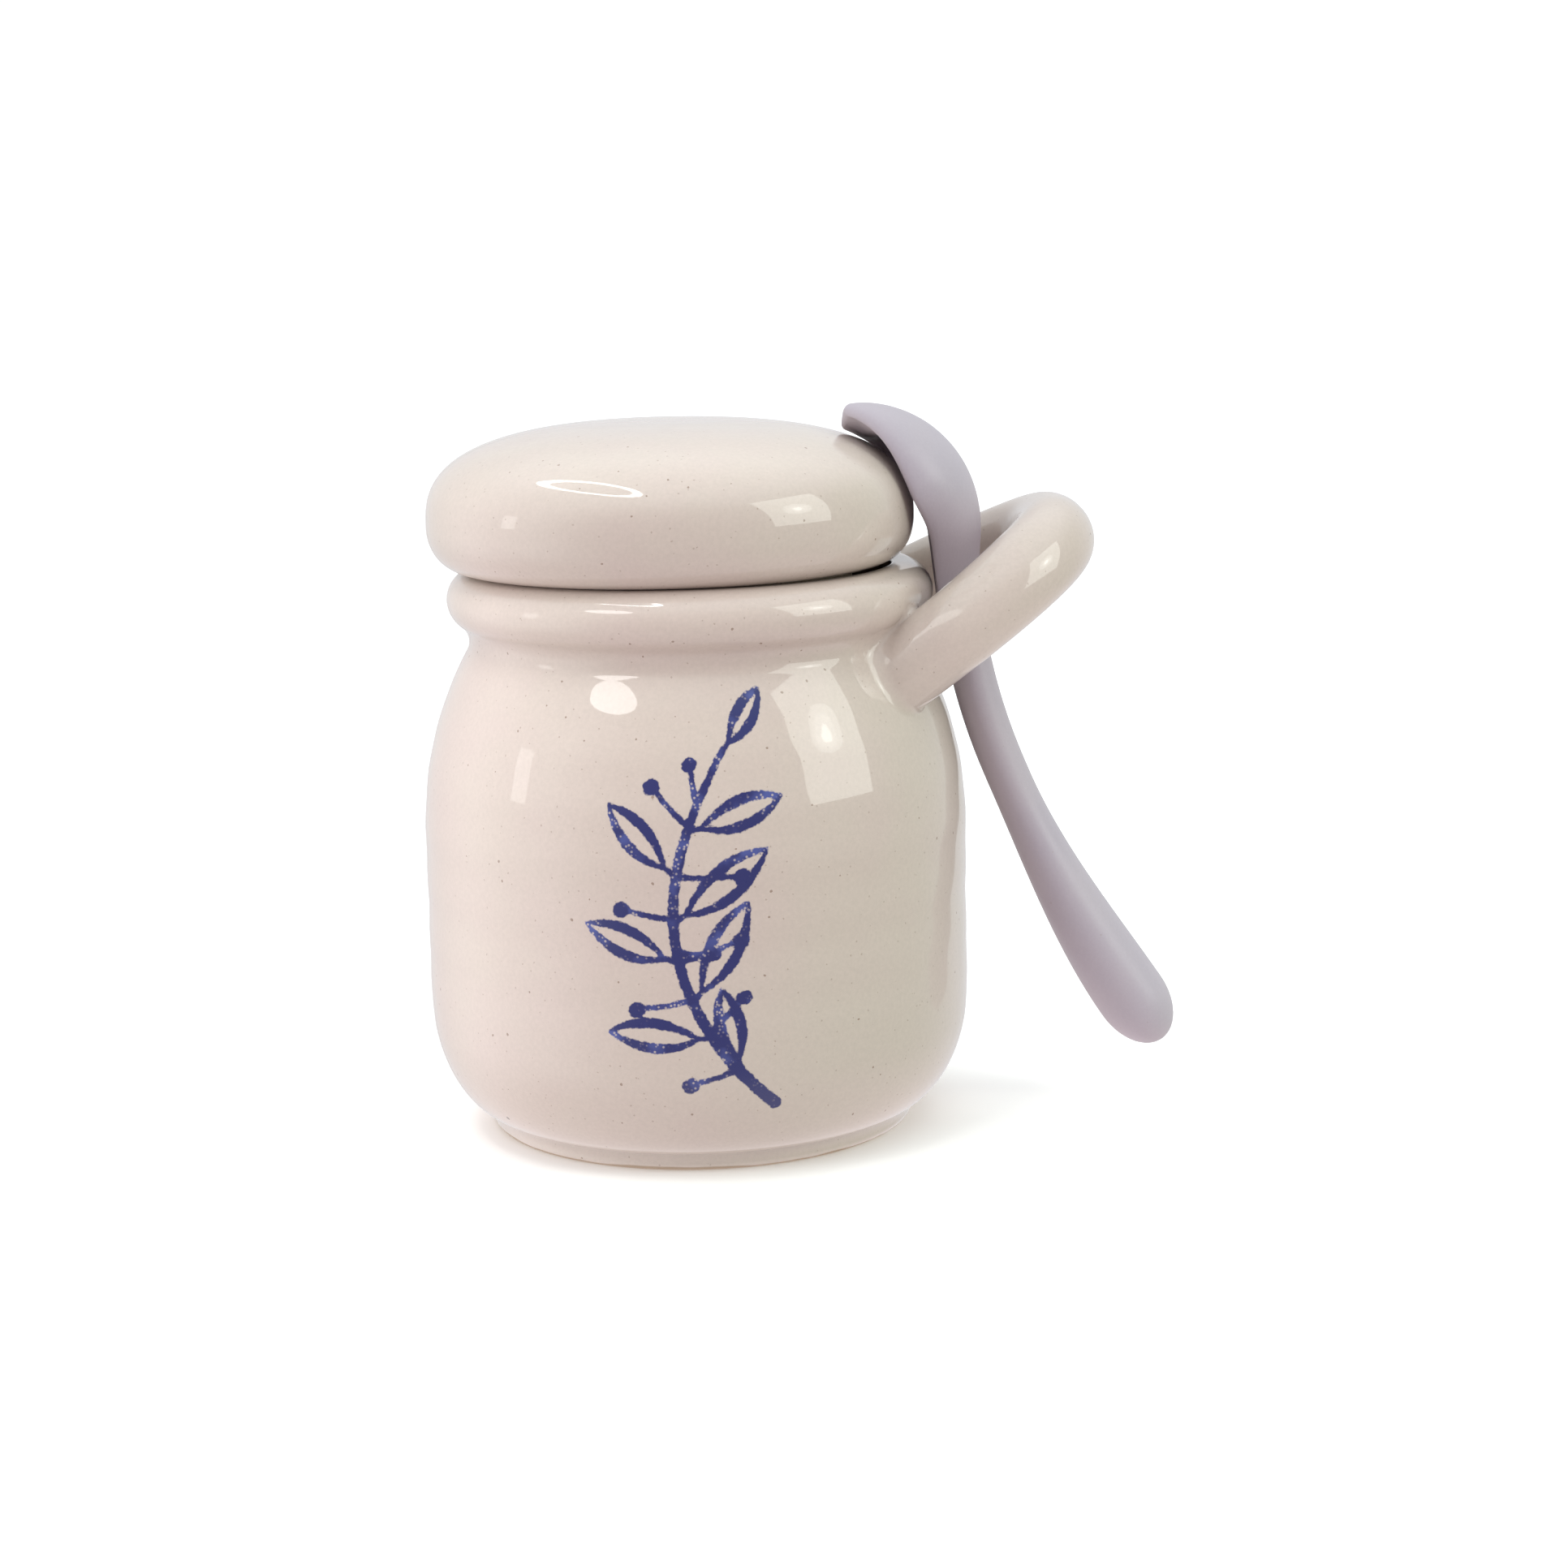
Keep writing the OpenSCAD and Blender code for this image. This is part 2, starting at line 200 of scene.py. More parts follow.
def points_of(piece):
    """The piece's points in mm, one row each."""
    flat = np.zeros(len(piece.data.vertices) * 3)
    piece.data.vertices.foreach_get("co", flat)
    return flat.reshape(-1, 3) / MM


base = [(0.0, 0.0), (foot_r / 2, 0.0)]
inner_floor = [(floor_curve[0], floor_t), (0.0, floor_t)]
pot = throw("pot", base + outside + inside + inner_floor, pot_spins, front_start)
marks_size = 34.0
marks_depth = 0.2
marks_low = 4.0
marks_fade = 8.0
join_at = (36.0, 76.0)
join_clear = 24.0
join_fade = 14.0
at = points_of(pot)
on_wall = np.hypot(at[:, 0], at[:, 1]) > neck_r - 0.5
up_wall = np.clip((at[:, 2] - marks_low) / marks_fade, 0, 1) * np.clip((neck_z - at[:, 2]) / marks_fade, 0, 1)
off_join = np.hypot(at[:, 0] - join_at[0], at[:, 2] - join_at[1])
off_join = np.clip((off_join - join_clear) / join_fade, 0, 1)
hand_marks(pot, on_wall * up_wall * off_join, marks_size, marks_depth)

# The sprig lies on the front of the wall: a is the way round it from the front line, in mm, and z the height.
stem = [(13.0, 13.0), (-3.0, 27.0), (-9.0, 46.0), (6.0, 69.0)]
stem_press = (2.2, 2.0, 1.8, 1.8, 1.7, 1.2)
stem_load = (1.0, 0.7, 0.95, 0.8, 0.6, 0.8)
leaf_stalk = 2.2
leaf_curl = 0.16
leaf_fullness = 0.27
leaf_press = (0.8, 1.3, 1.8, 1.8, 1.4, 0.7)
leaf_loads = ((-1, (0.95, 0.8, 0.55, 0.35)), (1, (0.75, 0.95, 0.9, 0.7)))


def curve_at(p, t):
    """The point at t on a curve with two to four control points."""
    p = [np.array(q, float) for q in p]
    while len(p) > 1:
        p = [a + (b - a) * t for a, b in zip(p, p[1:])]
    return p[0]


def stroke(p, widths, load):
    """One pull of the brush: points along it, its half width at each, and how much colour it carries."""
    length = sum(math.dist(a, b) for a, b in zip(p, p[1:]))
    t = np.linspace(0, 1, max(12, round(length / 0.2)))
    line = np.array([curve_at(p, x) for x in t])
    half = np.interp(t, np.linspace(0, 1, len(widths)), widths) / 2
    return line, half, np.interp(t, np.linspace(0, 1, len(load)), load)


def off_stem(t, side, lean):
    """A point of the stem, and the way that leaves it there on that side at the angle lean."""
    foot = curve_at(stem, t)
    along = curve_at(stem, t + 0.02) - curve_at(stem, t - 0.02)
    along /= np.linalg.norm(along)
    across = np.array([along[1], -along[0]]) * side
    return foot, along * math.cos(math.radians(lean)) + across * math.sin(math.radians(lean)), along


def leaf(t, side, length, lean):
    """One leaf: two strokes from a short stalk to the tip that leave a thin vein bare between them."""
    foot, way, along = off_stem(t, side, lean)
    heart = foot + way * leaf_stalk
    tip = foot + way * length + along * length * leaf_curl
    out = np.array([way[1], -way[0]])
    full = length * leaf_fullness
    pulls = [stroke([foot, heart], (1.2, 1.0), (0.9, 0.8))]
    for half, load in leaf_loads:
        belly = (heart + tip) / 2 + out * half * full
        pulls.append(stroke([heart, belly, tip], leaf_press, load))
    return pulls


def berry(t, side, reach, lean, size):
    """One berry: a thin stalk from the stem and a round dab of colour."""
    foot, way, along = off_stem(t, side, lean)
    end = foot + way * reach + along * 0.8
    dab = np.array([0.2, 0.1])
    middle = end + way * size * 0.45
    return [
        stroke([foot, (foot + end) / 2 - along * 0.5, end], (1.15, 1.0, 1.0), (0.8, 0.55)),
        stroke([middle - dab, middle + dab], (size, size), (1.0, 0.75)),
    ]


strokes = [stroke(stem, stem_press, stem_load)]
for t, side, length, lean in (
    (0.13, 1, 12.0, 34),
    (0.25, -1, 15.0, 62),
    (0.36, 1, 16.5, 60),
    (0.48, -1, 14.5, 64),
    (0.59, 1, 17.0, 62),
    (0.71, -1, 14.0, 62),
    (0.82, 1, 14.5, 60),
    (0.99, 1, 10.5, 8),
):
    strokes.extend(leaf(t, side, length, lean))
for t, side, reach, lean, size in (
    (0.14, -1, 6.5, 74, 2.5),
    (0.27, 1, 6.5, 84, 2.3),
    (0.37, -1, 7.5, 84, 2.5),
    (0.48, 1, 9.0, 88, 2.6),
    (0.51, 1, 5.0, 112, 2.2),
    (0.60, -1, 7.0, 86, 2.5),
    (0.71, 1, 9.0, 86, 2.5),
    (0.83, -1, 7.0, 70, 2.5),
    (0.88, -1, 4.5, 40, 2.2),
):
    strokes.extend(berry(t, side, reach, lean, size))

rim_side = bead[1] + 3.5
wall_line = np.array(sorted((z, r) for r, z in outside if z <= rim_side))


def wall_r(z):
    """Radius of the pot's outside at the height z; above the rim's outer side it stays what it is there."""
    return np.interp(z, wall_line[:, 0], wall_line[:, 1])


front_w = 40.0
front_low = 5.0
unpainted = -3.0
at = points_of(pot)
around = np.arctan2(at[:, 0], -at[:, 1]) * belly_r
outer = np.hypot(at[:, 0], at[:, 1]) > wall_r(at[:, 2]) - wall / 2
front = outer & (np.abs(around) < front_w) & (at[:, 2] > front_low) & (at[:, 2] < neck_z)
spot = np.stack([around[front], at[front, 2]], 1)
depth_in = np.full(len(spot), unpainted)
carried = np.zeros(len(spot))
for line, half, load in strokes:
    far = np.linalg.norm(spot[:, None, :] - line[None, :, :], axis=2)
    inner = half[None, :] - far
    best = inner.argmax(1)
    value = inner[np.arange(len(spot)), best]
    better = value > depth_in
    depth_in[better] = value[better]
    carried[better] = load[best[better]]
for name, values, empty in (("brush", depth_in, unpainted), ("colour_load", carried, 0.0)):
    whole = np.full(len(at), empty, np.float32)
    whole[front] = values
    pot.data.attributes.new(name, "FLOAT", "POINT").data.foreach_set("value", whole)


def add(tree, kind, settings=None, **inputs):
    """One shader node. Settings are its own options; inputs are values or links, by name or by number as _0."""
    made = tree.nodes.new("ShaderNode" + kind)
    for key, value in (settings or {}).items():
        setattr(made, key, value)
    for key, value in inputs.items():
        socket = made.inputs[int(key[1:])] if key[0] == "_" else made.inputs[key.replace("_", " ")]
        if isinstance(value, bpy.types.NodeSocket):
            tree.links.new(value, socket)
        else:
            socket.default_value = value
    return made


def finish_named(name):
    """A new finish with only its shader and output: its tree and its shader."""
    made = bpy.data.materials.new(name)
    made.use_nodes = True
    tree = made.node_tree
    tree.nodes.clear()
    shader = add(tree, "BsdfPrincipled")
    add(tree, "OutputMaterial", Surface=shader.outputs[0])
    return made, tree, shader


def mixed(tree, factor, a, b, how="MIX"):
    """The colour a mixed with b by the factor."""
    return add(tree, "Mix", {"data_type": "RGBA", "blend_type": how}, _0=factor, _6=a, _7=b).outputs[2]


def between(tree, value, low, high, to_low=0.0, to_high=1.0):
    """The value eased from to_low at low to to_high at high."""
    ease = {"interpolation_type": "SMOOTHSTEP"}
    return add(tree, "MapRange", ease, _0=value, _1=low, _2=high, _3=to_low, _4=to_high).outputs[0]


def sums(tree, how, a, b):
    """Two numbers put together."""
    return add(tree, "Math", {"operation": how}, _0=a, _1=b).outputs[0]


cream = (0.590, 0.508, 0.452, 1)
rosy_cream = (0.590, 0.494, 0.450, 1)
green_cream = (0.560, 0.508, 0.434, 1)
iron_brown = (0.230, 0.150, 0.105, 1)
iron_black = (0.060, 0.042, 0.035, 1)
bare_clay = (0.430, 0.345, 0.260, 1)
cobalt = (0.003, 0.011, 0.120, 1)
thin_cobalt = (0.055, 0.080, 0.300, 1)

# Each kind of speck: cells to the metre, its radius in a cell, the share of cells that hold one,
# a seed, its strength and its iron
iron_specks = (
    (620.0, 0.090, 0.85, 0.37, 0.38, iron_brown),
    (290.0, 0.060, 0.75, 1.91, 0.72, iron_brown),
    (62.0, 0.017, 0.5, 4.13, 0.85, iron_black),
)


def specks(tree, where, per_m, radius, share, seed):
    """Iron specks: 1 inside small dots that some of the cells of a loose net hold."""
    shift = (seed, seed * 1.7, seed * 0.3)
    moved = add(tree, "VectorMath", {"operation": "ADD"}, _0=where, _1=shift).outputs[0]
    cells = add(tree, "TexVoronoi", {"feature": "F1"}, Vector=moved, Scale=per_m)
    ragged = add(tree, "TexNoise", Vector=moved, Scale=per_m * 6, Detail=1.0).outputs[0]
    size = sums(tree, "MULTIPLY", ragged, radius * 2)
    dot = sums(tree, "LESS_THAN", cells.outputs["Distance"], size)
    pick = add(tree, "SeparateColor", _0=cells.outputs["Color"]).outputs[0]
    return sums(tree, "MULTIPLY", dot, sums(tree, "LESS_THAN", pick, share))


def glazed(name, painted=False, bare_under=None):
    """Clear gloss over speckled cream clay; painted takes the sprig, and below bare_under the clay is bare."""
    made, tree, shader = finish_named(name)
    where = add(tree, "TexCoord").outputs["Object"]
    clouds = add(tree, "TexNoise", Vector=where, Scale=38.0, Detail=3.0, Roughness=0.55).outputs[0]
    drift = add(tree, "TexNoise", Vector=where, Scale=16.0, Detail=1.0).outputs[0]
    grain = add(tree, "TexNoise", Vector=where, Scale=1500.0, Detail=2.0, Roughness=0.7).outputs[0]
    colour = mixed(tree, between(tree, clouds, 0.35, 0.68), cream, rosy_cream)
    colour = mixed(tree, between(tree, drift, 0.45, 0.72, 0.0, 0.55), colour, green_cream)
    shade = between(tree, grain, 0.2, 0.8, 0.93, 1.0)
    grey = add(tree, "CombineColor", _0=shade, _1=shade, _2=shade).outputs[0]
    colour = mixed(tree, 1.0, colour, grey, "MULTIPLY")
    for per_m, radius, share, seed, strength, iron in iron_specks:
        dots = specks(tree, where, per_m, radius, share, seed)
        colour = mixed(tree, sums(tree, "MULTIPLY", dots, strength), colour, iron)
    if painted:
        inner = add(tree, "Attribute", {"attribute_name": "brush"}).outputs["Fac"]
        load = add(tree, "Attribute", {"attribute_name": "colour_load"}).outputs["Fac"]
        frayed = add(tree, "TexNoise", Vector=where, Scale=1300.0, Detail=2.0, Roughness=0.6).outputs[0]
        edge = sums(tree, "ADD", inner, between(tree, frayed, 0.25, 0.75, -0.14, 0.10))
        cover = between(tree, edge, -0.10, 0.16)
        bubbles = add(tree, "TexVoronoi", {"feature": "F1"}, Vector=where, Scale=1500.0)
        washed = add(tree, "TexNoise", Vector=where, Scale=230.0, Detail=2.0, Roughness=0.55).outputs[0]
        wet = sums(tree, "ADD", load, between(tree, washed, 0.3, 0.7, -0.40, 0.30))
        thin = between(tree, wet, 0.30, 0.80, 1.0, 0.0)
        pits = between(tree, bubbles.outputs["Distance"], 0.14, 0.40, 1.0, 0.0)
        dense = between(tree, wet, 0.05, 0.70)
        paint = mixed(tree, dense, thin_cobalt, cobalt)
        pitted = sums(tree, "MULTIPLY", pits, thin)
        paint = mixed(tree, sums(tree, "MULTIPLY", pitted, 0.75), paint, cream)
        colour = mixed(tree, sums(tree, "MULTIPLY", cover, 0.97), colour, paint)
    peel = add(tree, "TexNoise", Vector=where, Scale=110.0, Detail=0.0).outputs[0]
    rough = between(tree, peel, 0.3, 0.7, 0.30, 0.38)
    if bare_under is not None:
        up = add(tree, "SeparateXYZ", _0=where).outputs[2]
        wiped = sums(tree, "ADD", up, between(tree, clouds, 0.3, 0.7, -0.3 * MM, 0.3 * MM))
        bare = between(tree, wiped, (bare_under - 0.15) * MM, (bare_under + 0.15) * MM, 1.0, 0.0)
        sandy = mixed(tree, grain, bare_clay, mixed(tree, 0.35, bare_clay, iron_brown))
        colour = mixed(tree, bare, colour, sandy)
        rough = sums(tree, "ADD", rough, sums(tree, "MULTIPLY", bare, 0.5))
        tree.links.new(sums(tree, "SUBTRACT", 1.0, bare), shader.inputs["Coat Weight"])
    else:
        shader.inputs["Coat Weight"].default_value = 1.0
    tree.links.new(colour, shader.inputs["Base Color"])
    tree.links.new(rough, shader.inputs["Roughness"])
    shader.inputs["Specular IOR Level"].default_value = 0.1
    shader.inputs["Coat Roughness"].default_value = 0.035
    shader.inputs["Coat IOR"].default_value = 1.5
    return made


pot.data.materials.append(glazed("pot_glaze", painted=True, bare_under=0.45))
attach(pot, "pot")
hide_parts("pot_body")

# Loop
# A finger-thick coil of the same clay, bent into a U while soft and luted onto the shoulder by its two ends.
# The joins are smoothed with a wet finger into wide fillets, and it is glazed together with the pot.
coil_r = 6.45
coil_root_r = 6.6
coil_flare_l = 12.0
loop_span = 40.0
loop_rise = math.radians(38)
loop_root = (33.1657, 76.2502)
loop_l = 33.2137
loop_power = 2 / 2.6
loop_skew = 8.0
loop_sides = 56
loop_bends = 96
coil_sag = 0.9
root_lean = 2.5
root_lean_l = 14.0

# Sizes of the fillets at the top, sides and underside, and how far and deep their edges run on under the glaze
fillet_on_coil = (4.4, 2.2, 0.8)
fillet_on_pot = (3.4, 1.6, 0.5)
fillet_steps = 14
fillet_pull = 0.45
coil_clear = 4.0
run_under = ((1.6, 3.2), (1.6, 0.45), (0.8, 0.10))

loop_out = np.array([math.cos(loop_rise), 0.0, math.sin(loop_rise)])
loop_up = np.array([-math.sin(loop_rise), 0.0, math.cos(loop_rise)])


def loop_middle(a):
    """A point of the coil's middle line; a runs from -90 degrees at the front root to 90 at the back one."""
    p = loop_l * max(0.0, math.cos(a)) ** loop_power
    q = loop_span / 2 * math.copysign(abs(math.sin(a)) ** loop_power, math.sin(a))
    lift = loop_skew * (q / loop_span + 0.5) * (1 - p / loop_l)
    if q < 0:
        q += root_lean * (1 - eased(p / root_lean_l))
    return np.array([loop_root[0], q, loop_root[1] + lift]) + p * loop_out


def coil_ring(middle, along, radius, sag):
    """A section of the coil, which hangs a little deeper by sag."""
    side = np.cross(loop_up, along)
    turn = np.linspace(0, 2 * math.pi, loop_sides + 1)
    across, high = np.cos(turn)[:, None] * radius, np.sin(turn)[:, None] * (radius + sag / 2)
    return middle - loop_up * sag / 2 + across * side + high * loop_up


def meets_wall(p, way):
    """Where the line from p along way first comes to the pot's outside."""
    low, high = 0.0, 40.0
    for _ in range(40):
        mid = (low + high) / 2
        q = p + way * mid
        low, high = (mid, high) if math.hypot(q[0], q[1]) > wall_r(q[2]) else (low, mid)
    return p + way * high


def on_pot(p, depth=0.0):
    """The point p set onto the pot's outside, or that deep inside it, no higher than the rim's outer side."""
    r = math.hypot(p[0], p[1])
    z = min(p[2], rim_side)
    return np.array([p[0] / r, p[1] / r, 0]) * (wall_r(z) - depth) + np.array([0, 0, z])


turns = [math.radians(-90 + 180 * i / loop_bends) for i in range(loop_bends + 1)]
line = [loop_middle(a) for a in turns]
rings = []
ways = []
for i, p in enumerate(line):
    ahead = line[min(i + 1, loop_bends)] - line[max(i - 1, 0)]
    ahead = ahead / np.linalg.norm(ahead)
    rise = float((p - np.array([loop_root[0], 0, loop_root[1]])) @ loop_out)
    ways.append(ahead)
    grown = coil_root_r + (coil_r - coil_root_r) * eased(rise / coil_flare_l)
    rings.append((rise, coil_ring(p, ahead, grown, coil_sag * eased(rise / loop_l))))
clear = fillet_on_coil[0] + coil_clear
kept = [i for i, (rise, ring) in enumerate(rings) if rise > clear]
body_rings = [rings[i][1] for i in kept]


def fillet(ring, way):
    """Rings that carry the coil's end round in a hollow until it lies along the pot, the outermost first."""
    feet = [meets_wall(p, way) for p in ring]
    middle = sum(feet[:-1]) / loop_sides
    found = []
    for i, (p, foot) in enumerate(zip(ring, feet)):
        high = math.sin(2 * math.pi * i / loop_sides)
        shares = (max(0.0, high) ** 2, 1 - high**2, min(0.0, high) ** 2)
        normal = foot * np.array([1, 1, 0])
        normal = normal / np.linalg.norm(normal)
        spread = foot - middle
        spread = spread - normal * (spread @ normal)
        spread = spread / np.linalg.norm(spread)
        wide = sum(size * share for size, share in zip(fillet_on_pot, shares))
        reach = sum(size * share for size, share in zip(fillet_on_coil, shares))
        reach = min(reach, np.linalg.norm(p - foot))
        hidden = [on_pot(foot + spread * (wide + more), deep) for more, deep in run_under]
        edge = on_pot(foot + spread * wide, 0.01)
        along_pot = on_pot(foot + spread * wide * fillet_pull)
        along_coil = foot - way * reach * fillet_pull
        top = foot - way * reach
        steps = [
            (1 - t) ** 3 * edge
            + 3 * t * (1 - t) ** 2 * along_pot
            + 3 * t * t * (1 - t) * along_coil
            + t**3 * top
            for t in np.linspace(0, 1, fillet_steps)
        ]
        found.append([on_pot(foot, wall * 0.6)] + hidden + steps)
    found = np.array(found).transpose(1, 0, 2)
    found[0] = found[0, :-1].mean(0)
    return list(found)


def shaped(name, rows):
    """Lays a grid of points along the piece, ring by ring, and closes its seam and its ends."""
    rows = np.array(rows)
    bpy.ops.object.select_all(action="DESELECT")
    around, along = rows.shape[1] - 1, rows.shape[0] - 1
    bpy.ops.mesh.primitive_grid_add(x_subdivisions=around, y_subdivisions=along, size=1)
    piece = bpy.context.object
    piece.name = piece.data.name = name
    piece.data.vertices.foreach_set("co", (rows * MM).ravel())
    bpy.ops.object.mode_set(mode="EDIT")
    bpy.ops.mesh.select_all(action="SELECT")
    bpy.ops.mesh.remove_doubles(threshold=0.002 * MM)
    bpy.ops.mesh.normals_make_consistent(inside=False)
    bpy.ops.object.mode_set(mode="OBJECT")
    bpy.ops.object.shade_smooth()
    return piece


front_end = fillet(body_rings[0], -ways[kept[0]])
back_end = fillet(body_rings[-1], ways[kept[-1]])
loop_rows = front_end + body_rings + back_end[::-1]
loop = shaped("loop", loop_rows)
loop.data.materials.append(glazed("loop_glaze"))
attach(loop, "pot")
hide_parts("spoon_loop")

# Lid
# A hollow bun thrown like a small closed form, which sits on the flat of the rim.
# The spoon in the loop keeps it pushed a little to the other side.
lid_x = -2.95
lid_r = 39.95
lid_low_h = 7.1
lid_mid_z = pot_h + lid_low_h
lid_dome_h = 16.3
lid_power = 2 / 2.75
lid_land_r = 33.9
lid_wall = 4.8
lid_ring_t = 4.0
collar_r = 29.6
collar_in_r = 25.7
lid_spins = ((360.0, 300),)
lid_marks_size = 38.0
lid_marks_depth = 0.12

low_w = lid_r - lid_land_r
dome = bend((0, lid_mid_z), lid_r, lid_dome_h, 90, 0, 0.45, lid_power)
under_dome = bend((0, lid_mid_z), lid_r - lid_wall, lid_dome_h - lid_wall, 0, 90, 1.6, lid_power)
lid_outline = (
    [(0.0, lid_mid_z + lid_dome_h)]
    + dome[1:]
    + bend((lid_land_r, lid_mid_z), low_w, lid_low_h, 0, -90, 0.5)[1:]
    + run((lid_land_r, pot_h), (collar_in_r, pot_h), 2.0)
    + [(collar_in_r, pot_h), (collar_in_r, pot_h + lid_ring_t)]
    + bend((lid_land_r - lid_wall, lid_mid_z), low_w, lid_low_h - lid_ring_t, -90, 0, 0.8)
    + under_dome[1:-1]
    + [(0.0, lid_mid_z + lid_dome_h - lid_wall)]
)
lid = throw("lid", lid_outline, lid_spins, axis_x=lid_x)
on_dome = np.clip((points_of(lid)[:, 2] - lid_mid_z + 5) / 4, 0, 1)
hand_marks(lid, on_dome, lid_marks_size, lid_marks_depth)
lid.data.materials.append(glazed("lid_glaze"))
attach(lid, "lid")
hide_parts("lid")

# Lid collar
# A ring of clay luted under the lid that keeps it on the mouth.
# It is wiped bare so that it doesn't stick in the kiln.
collar_h = 5.2
collar_bevel = 0.8
collar_spins = ((360.0, 192),)
pale_clay = (0.630, 0.520, 0.410, 1)
low = pot_h - collar_h
collar_outline = (
    [(collar_in_r, pot_h)]
    + run((collar_in_r, pot_h), (collar_in_r, low + collar_bevel), 1.0)
    + bend((collar_in_r + collar_bevel, low + collar_bevel), collar_bevel, collar_bevel, 180, 270, 0.2)
    + run((collar_in_r + collar_bevel, low), (collar_r - collar_bevel, low), 1.0)
    + bend((collar_r - collar_bevel, low + collar_bevel), collar_bevel, collar_bevel, -90, 0, 0.2)
    + run((collar_r, low + collar_bevel), (collar_r, pot_h), 1.0)
    + [(collar_r, pot_h), (collar_in_r, pot_h)]
)
collar = throw("collar", collar_outline, collar_spins, axis_x=lid_x)
bare, tree, shader = finish_named("bare_stoneware")
where = add(tree, "TexCoord").outputs["Object"]
sand = add(tree, "TexNoise", Vector=where, Scale=900.0, Detail=4.0, Roughness=0.7).outputs[0]
patch = add(tree, "TexNoise", Vector=where, Scale=60.0, Detail=2.0).outputs[0]
clay = mixed(tree, between(tree, patch, 0.3, 0.7), bare_clay, pale_clay)
clay = mixed(tree, between(tree, sand, 0.45, 0.75, 0.0, 0.35), clay, iron_brown)
clay = mixed(tree, specks(tree, where, 300.0, 0.08, 0.6, 2.7), clay, iron_black)
tree.links.new(clay, shader.inputs["Base Color"])
tree.links.new(between(tree, sand, 0.2, 0.8, 0.72, 0.9), shader.inputs["Roughness"])
gritty = add(tree, "Bump", Strength=0.5, Distance=0.2 * MM, Height=sand).outputs[0]
tree.links.new(gritty, shader.inputs["Normal"])
collar.data.materials.append(bare)
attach(collar, "lid")
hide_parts("lid_collar")

# Spoon
# A hooked jam spoon in one piece of smooth mauve porcelain, slip-cast with a rounded lip and left matte.
# Its bowl hooks over the lid and its handle stands in the loop.
bowl_w = 27.0
bowl_depth = 9.2
bowl_wall = 2.2
tip_t = 2.0
tip_nib = 0.4
tip_fullness = 2.0
tip_turn = math.radians(10.5)
tip_turn_l = 15.0
tip_nose = 0.9
bowl_wide_at = 17.0
bowl_deep_at = 21.0
bowl_hollow_l = 27.0
bowl_l = 40.0
hook_r = 21.0
hook_turn = 82.0
hook_c = (22.7213, 96.4)
neck_w = 9.6
neck_t = 7.2
neck_round_l = 14.0
neck_l = 32.0
neck_bend_r = 100.0
neck_bend = 21.8
handle_bend_r = 220.0
handle_l = 55.5
end_w = 14.6
end_t = 11.88
end_round_l = 9.0
mauve_dark = (0.440, 0.395, 0.455, 1)
mauve_light = (0.465, 0.415, 0.465, 1)
mauve_dust = (0.62, 0.58, 0.62, 1)

hook_l = math.radians(hook_turn) * hook_r
neck_bend_l = math.radians(neck_bend) * neck_bend_r
spoon_l = hook_l + neck_bend_l + handle_l
end_start = spoon_l - end_round_l
swell_start = bowl_l + neck_l
neck_bend_c = (hook_c[0] + hook_r + neck_bend_r, hook_c[1])
bend_more = handle_bend_r - neck_bend_r
handle_bend_c = (
    neck_bend_c[0] + bend_more * math.cos(math.radians(neck_bend)),
    neck_bend_c[1] + bend_more * math.sin(math.radians(neck_bend)),
)


def spoon_line(s):
    """The middle line's point at the length s from the tip, and the way its back faces."""
    if s < hook_l:
        a, c, r = math.radians(hook_turn) - s / hook_r, hook_c, hook_r
    elif s < hook_l + neck_bend_l:
        a, c, r = (s - hook_l) / neck_bend_r, neck_bend_c, -neck_bend_r
    else:
        a = math.radians(neck_bend) + (s - hook_l - neck_bend_l) / handle_bend_r
        c, r = handle_bend_c, -handle_bend_r
    way = (math.cos(a), math.sin(a))
    return (c[0] + r * way[0], c[1] + r * way[1]), way


def from_to(a, b, s, s0, s1):
    """Eased from a at the length s0 to b at s1."""
    return a + (b - a) * eased((s - s0) / (s1 - s0))


def round_end(u):
    """From 0 at the end of a rounding to 1 where it begins."""
    return math.sqrt(max(0.0, 1 - (1 - min(1.0, max(0.0, u))) ** 2))


def spoon_size(s):
    """Thickness and half width at the length s."""
    if s < bowl_deep_at:
        t = tip_t + (bowl_depth - tip_t) * (1 - (1 - s / bowl_deep_at) ** tip_fullness)
    elif s < bowl_l:
        t = from_to(bowl_depth, neck_t, s, bowl_deep_at, bowl_l)
    else:
        t = from_to(neck_t, end_t, s, swell_start, end_start)
    if s < bowl_wide_at:
        w = bowl_w / 2 * math.sqrt(1 - ((bowl_wide_at - s) / (bowl_wide_at + tip_nib)) ** 2)
    elif s < bowl_l:
        w = from_to(bowl_w, neck_w, s, bowl_wide_at, bowl_l) / 2
    else:
        w = from_to(neck_w, end_w, s, swell_start, end_start) / 2
    close = round_end((spoon_l - s) / end_round_l)
    return t * close * max(0.03, round_end(s / tip_nose)), w * close


back_steps = 30
lip_steps = 6
front_steps = 26


# How much lower the near and the far lip hang, in mm, and where along the spoon
near_drop = 0.95
near_drop_at = 20.0
near_drop_l = (6.0, 9.0)
far_drop = 0.3
far_tip_drop = 1.3
far_tip_l = 2.5
far_belly_drop = 1.1
far_belly_at = 16.0
far_belly_l = 6.0
far_end = 24.0
far_end_l = 10.0


def swell(s, middle, width):
    """A smooth rise to 1 at the middle and back to 0."""
    return math.exp(-(((s - middle) / width) ** 2))


